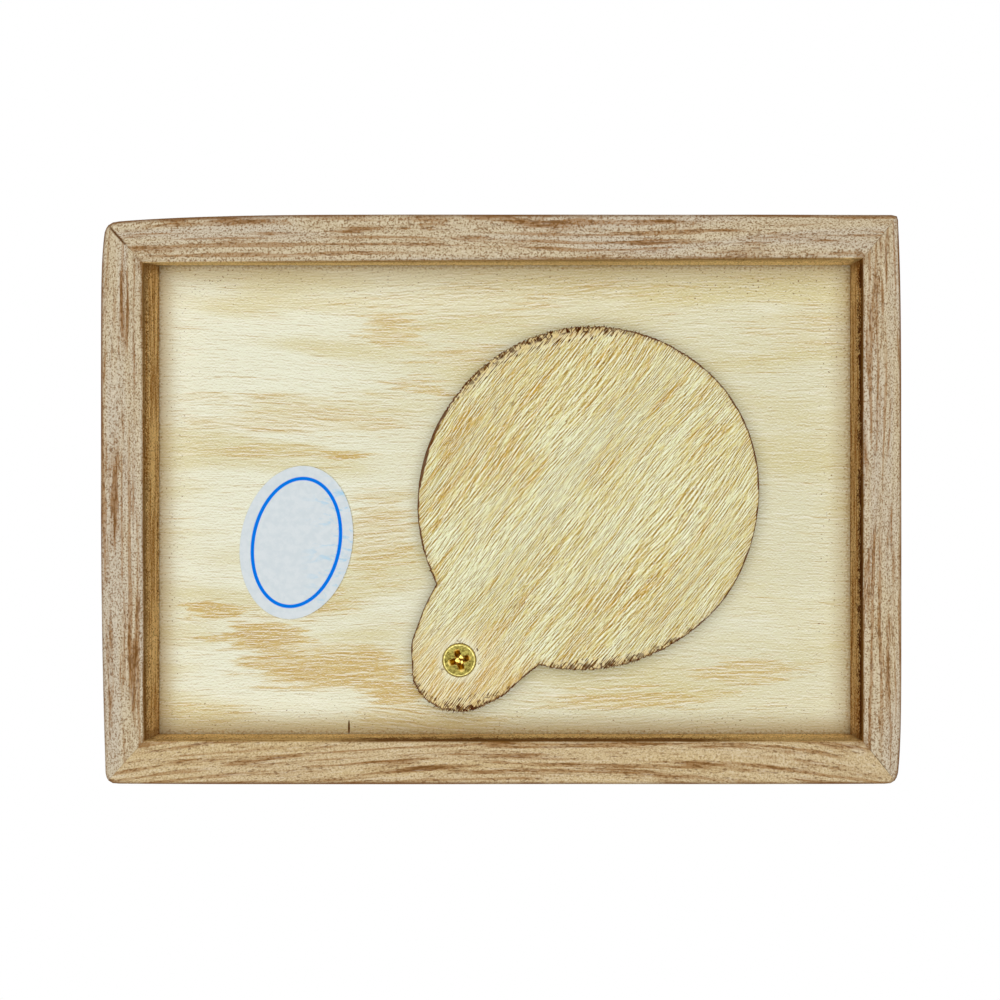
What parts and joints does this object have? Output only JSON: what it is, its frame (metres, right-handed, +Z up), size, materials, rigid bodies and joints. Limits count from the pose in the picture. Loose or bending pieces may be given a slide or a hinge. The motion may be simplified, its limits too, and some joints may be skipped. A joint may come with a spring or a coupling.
{
  "type": "coin bank",
  "caption": "Wooden box bank with mitred sides, a coin slot in its top and a swivel cover over the emptying hole in its recessed base.",
  "frame": {"origin": "middle of the box's footprint, on the plane that its rim stands on", "axes": "+Z up through the top board with the coin slot, +X along the box's length, +Y along its width; the bottom edge of the picture is +Y and its right edge is +X"},
  "size_m": [0.1524, 0.1084, 0.1],
  "materials": {
    "torched_wood": "raw light softwood, lightly torched and brushed, matt",
    "plywood": "raw sanded thin plywood, matt",
    "cover_plywood": "raw brushed plywood with a rough scorched sawn edge, matt",
    "brass": "bright plated",
    "label_paper": "silvery white sticker with a printed blue ring, satin",
    "brad_steel": "plain wire nail"
  },
  "bodies": {
    "box": {"side_board_front": "torched_wood", "side_board_back": "torched_wood", "side_board_left": "torched_wood", "side_board_right": "torched_wood", "top_board": "torched_wood", "bottom_panel": "plywood", "pivot_screw": "brass", "oval_label": "label_paper", "corner_brad_front_left_low": "brad_steel", "corner_brad_front_left_high": "brad_steel", "corner_brad_front_right_low": "brad_steel", "corner_brad_front_right_high": "brad_steel", "corner_brad_back_left_low": "brad_steel", "corner_brad_back_left_high": "brad_steel", "corner_brad_back_right_low": "brad_steel", "corner_brad_back_right_high": "brad_steel", "top_brad_front_left": "brad_steel", "top_brad_front_middle": "brad_steel", "top_brad_front_right": "brad_steel", "top_brad_back_left": "brad_steel", "top_brad_back_middle": "brad_steel", "top_brad_back_right": "brad_steel"},
    "cover": {"swivel_cover": "cover_plywood"}
  },
  "joints": [
    {"name": "cover_swing", "type": "hinge", "parent": "box", "child": "cover", "pos_m": [-0.0083, 0.0311, 0.005], "axis": [0, 0, -1], "range_deg": [-24, 78]}
  ]
}
